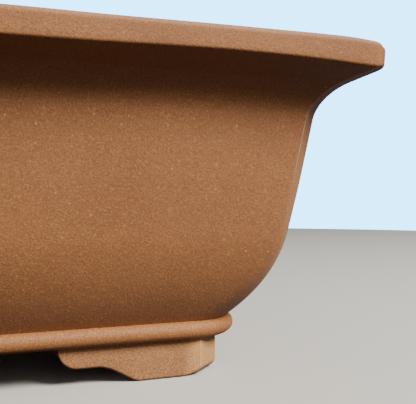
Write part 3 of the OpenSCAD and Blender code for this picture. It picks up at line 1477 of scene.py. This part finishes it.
@dataclass
class Feet(SweptMember):
    """The four cloud feet under the corners."""

    label: str = "foot"
    slot: str = "clay_foot"
    steps: Tuple[int, int, int] = (96, 5, 6)
    hand_waver: float = 0.4
    finish: ClayFinish = ClayFinish(
        "foot clay",
        tone=(0.560, 0.282, 0.125),
        pale=(0.70, 0.41, 0.19),
        # Pale corners of the feet: partly wear, partly painted light of their lit side.
        worn=(0.98, 0.56, 0.22),
        sheen=0.05,
    )
    crowding: float = 1.5
    toe: Point = (31.4, 45.2)
    lobe_height: float = 5.75
    lobe_rise: float = 6.4
    sole_lift: float = 2.3
    edge: float = 1.0
    arris: float = 0.7
    inner_cut: float = 4.0
    inner_arris: float = 3.0
    lift_depth: float = 4.5
    # Depth from the outer face that the pale corner paint reaches: partly wear, partly painted light.
    wear_depth: float = 1.5

    def block_point(self, x: float, z: float, hang: float) -> SectionPoint:
        """One point of the block's section.

        Args:
            x: Depth from the outer face.
            z: Height above the table.
            hang: How far the point follows the foot's underside.

        Returns:
            The point.
        """
        s = self.sizes
        share = x / s.foot_thick
        return SectionPoint(
            s.foot_in + x,
            z,
            s.foot_cut + (self.inner_cut - s.foot_cut) * share,
            self.arris + self.inner_arris * share,
            worn=1.0 if x < self.wear_depth else 0.0,
            hang=hang,
            crown=s.floor_under * MM,
            lower=max(0.0, 1.0 - x / self.lift_depth) ** 2 * hang,
        )

    def section(self) -> List[SectionPoint]:
        """Draws a block with soft lower edges, its top against the floor slab.

        Returns:
            The section's points in order.
        """
        deep, top = self.sizes.foot_thick, self.sizes.floor_under
        low = [
            (self.edge * (1 - math.cos(a)), self.edge * (1 - math.sin(a)))
            for a in spread(0.0, math.pi / 2, 6)
        ]
        sole = [(x, 0.0) for x in (2.0, 3.0, 4.2, 7.0, 10.0)]
        back = [(deep - x, z) for x, z in reversed(low)]
        points = [self.block_point(x, z, 1.0) for x, z in low + sole + back]
        return points + [self.block_point(deep * share, top, 0.0) for share in (1.0, 0.66, 0.33, 0.0)]

    def shape(self) -> Dict[str, float]:
        """The outline of a foot, and how it is spaced."""
        s = self.sizes
        return {
            "Crowding": self.crowding,
            "Half length": s.length / 2 * MM,
            "Far end": (s.length / 2 - s.foot_in - s.foot_reach) * MM,
            "Corner set-in": s.foot_in * MM,
            "Toe start": (s.foot_in + self.toe[0]) * MM,
            "Toe end": (s.foot_in + self.toe[1]) * MM,
            "Lobe height": self.lobe_height * MM,
            "Lobe rise": self.lobe_rise * MM,
            "Sole lift": self.sole_lift * MM,
        }

    def places(self) -> Iterable[Tuple[str, Dict[str, object]]]:
        """Each corner's name, with its place and its turn.

        Yields:
            The pairs, from the front right corner round to the front left one.
        """
        s = self.sizes
        for corner in Corner:
            x, y = corner.signs
            yield corner.label, {
                "Place": (x * (s.length / 2 - s.foot_end_in + s.foot_in) * MM, y * s.width / 2 * MM, 0.0),
                "Turn": (0.0, 0.0, corner.value * math.pi / 2),
            }


# ---------------------------------------------------------------- studio


@dataclass
class Studio:
    """Pale floor, soft lamps and the camera."""

    floor_tone: Colour = (0.60, 0.60, 0.58)
    shade: Colour = (0.01, 0.01, 0.01)
    air: Colour = (0.170, 0.168, 0.172)
    behind: Colour = (0.34, 0.35, 0.36)
    ground: Colour = (0.018, 0.009, 0.006)
    shine: Colour = (0.40, 0.36, 0.39)
    backdrop: Colour = (1.10, 4.4, 8.5)
    eye: Place = (32.8, -315.0, 61.76)
    yaw: float = 22.31
    pitch: float = -0.507
    lens: float = 60.58
    sensor: float = 36.0
    reach: Point = (0.01, 50.0)
    target: Place = (0.08, -0.10, 0.05)
    sheet_edge: int = 96

    def build(self) -> None:
        """Sets up the floor, the light and the camera."""
        self.floor()
        self.lamps()
        self.camera()

    def sheet(self, name: str, shape: Place, tone: Colour) -> bpy.types.Object:
        """Lays a flat round or oval sheet that isn't part of the pot.

        Args:
            name: Name of the sheet.
            shape: Half length, half width and height above the floor, in metres.
            tone: Its colour.

        Returns:
            The sheet.
        """
        work = bmesh.new()
        bmesh.ops.create_circle(work, cap_ends=True, segments=self.sheet_edge, radius=1.0)
        for point in work.verts:
            point.co = Vector((point.co.x * shape[0], point.co.y * shape[1], shape[2]))
        mesh = bpy.data.meshes.new(name)
        work.to_mesh(mesh)
        work.free()
        made = bpy.data.objects.new(name, mesh)
        bpy.context.scene.collection.objects.link(made)
        paint = bpy.data.materials.new(name)
        paint.use_nodes = True
        shader = paint.node_tree.nodes["Principled BSDF"]
        shader.inputs["Base Color"].default_value = (*tone, 1.0)
        shader.inputs["Roughness"].default_value = 0.9
        mesh.materials.append(paint)
        return made

    def floor(self) -> None:
        """Lays the pale floor, and just below it a dark board: painted shade that darkens the pot's
        underside in place of the shadowed floor.
        """
        floor = self.sheet("studio_floor", (1.1, 1.1, 0.0), self.floor_tone)
        floor.visible_diffuse = False
        floor.visible_glossy = False
        # Painted shade: a black board under the floor that darkens the pot's underside.
        self.sheet("shade_board", (0.150, 0.100, -0.0005), self.shade)

    def lamp(self, name: str, place: Place, size: float, power: float, tint: Colour) -> None:
        """Adds one square soft lamp that looks at the pot.

        Args:
            name: Name of the lamp.
            place: Where it stands, in metres.
            size: Side of its face in metres.
            power: Watts.
            tint: Colour of its light.
        """
        data = bpy.data.lights.new(name, "AREA")
        data.size = size
        data.energy = power
        data.color = tint
        lamp = bpy.data.objects.new(name, data)
        lamp.location = place
        aim = Vector(self.target) - Vector(place)
        lamp.rotation_euler = aim.to_track_quat("-Z", "Y").to_euler()
        bpy.context.scene.collection.objects.link(lamp)

    def lamps(self) -> None:
        """A high key lamp in front to the right, a faint low one, and the air."""
        self.lamp("key", (0.78, -1.16, 1.185), 0.66, 67.0, (1.0, 0.94, 0.85))
        self.lamp("low", (0.10, -1.35, 0.52), 0.80, 2.0, (1.0, 0.90, 0.82))
        world = bpy.data.worlds.new("studio air")
        world.use_nodes = True
        graph = ShaderGraph(world.node_tree)
        _, back, up = graph.parts(graph.wired("ShaderNodeTexCoord", {}, "Generated"))
        glossy, seen = graph.out(graph.node("ShaderNodeLightPath"), "Is Glossy Ray", "Is Camera Ray")
        sky = graph.blend(graph.eased(back, 0.10, 0.60), self.air, self.behind)
        below = graph.blend(glossy, self.ground, self.shine)
        light = graph.blend(graph.eased(up, -0.05, 0.05), below, sky)
        colour = world.node_tree.nodes["Background"].inputs["Color"]
        graph.feed(colour, graph.blend(seen, light, self.backdrop))
        bpy.context.scene.world = world

    def camera(self) -> None:
        """Sets the camera close to the front right corner, as high as the wall's middle."""
        data = bpy.data.cameras.new("camera")
        data.lens = self.lens
        data.sensor_width = self.sensor
        data.clip_start, data.clip_end = self.reach
        eye = bpy.data.objects.new("camera", data)
        eye.location = tuple(v * MM for v in self.eye)
        eye.rotation_euler = (math.radians(90.0 + self.pitch), 0.0, math.radians(-self.yaw))
        bpy.context.scene.collection.objects.link(eye)
        bpy.context.scene.camera = eye


def main() -> None:
    """Builds every member and the studio."""
    logging.basicConfig(level=logging.INFO, format="%(name)s: %(message)s")
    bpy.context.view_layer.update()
    sizes = PotSizes.from_frame()
    along, round_corner = SweepGraph(Sweep.ALONG_SIDE), SweepGraph(Sweep.ROUND_CORNER)
    members = (
        FloorSlab(sizes),
        Walls(sizes, along),
        Lip(sizes, along),
        Band(sizes, along),
        Feet(sizes, round_corner),
    )
    for member in members:
        pieces = member.build()
        LOG.info("%s: %d pieces", type(member).__name__, len(pieces))
    Studio().build()


if __name__ == "__main__":
    main()
